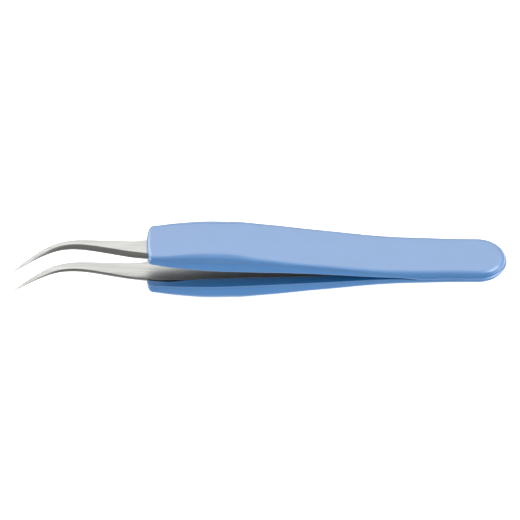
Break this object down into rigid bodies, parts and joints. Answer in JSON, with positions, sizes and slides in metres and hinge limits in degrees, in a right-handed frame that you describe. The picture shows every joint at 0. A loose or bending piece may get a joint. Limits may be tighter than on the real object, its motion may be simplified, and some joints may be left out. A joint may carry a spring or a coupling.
{
  "type": "precision tweezers",
  "caption": "Fine tweezers with curved needle tips and soft moulded grips; the two spring arms close together when squeezed.",
  "frame": {"origin": "centre of the bounding box in plan, on the flat pad of the lower grip", "axes": "+X runs from the tips to the tail, +Z from the lower arm to the upper arm, and the tips curve towards -Y"},
  "size_m": [0.1302, 0.0156, 0.0169],
  "materials": {
    "steel": "fine brushed stainless steel, satin",
    "weld": "dull weld metal",
    "grip": "soft matt light blue elastomer"
  },
  "bodies": {
    "tail": {"upper_arm_tang": "steel", "lower_arm_tang": "steel", "tail_weld": "weld", "upper_grip_heel": "grip", "lower_grip_heel": "grip"},
    "upper_arm": {"upper_arm_blade": "steel", "upper_grip": "grip"},
    "lower_arm": {"lower_arm_blade": "steel", "lower_grip": "grip"}
  },
  "joints": [
    {"name": "upper_arm_flex", "type": "hinge", "parent": "tail", "child": "upper_arm", "pos_m": [0.03512, 0.00047, 0.00945], "axis": [0, -1, 0], "range_deg": [0, 2.1], "stiffness_Nm_per_rad": 1.4},
    {"name": "lower_arm_flex", "type": "hinge", "parent": "tail", "child": "lower_arm", "pos_m": [0.03512, 0.00047, 0.00745], "axis": [0, 1, 0], "range_deg": [0, 2.1], "stiffness_Nm_per_rad": 1.4}
  ],
  "couplings": [
    {"joint": "lower_arm_flex", "follows": "upper_arm_flex", "ratio": 1}
  ]
}
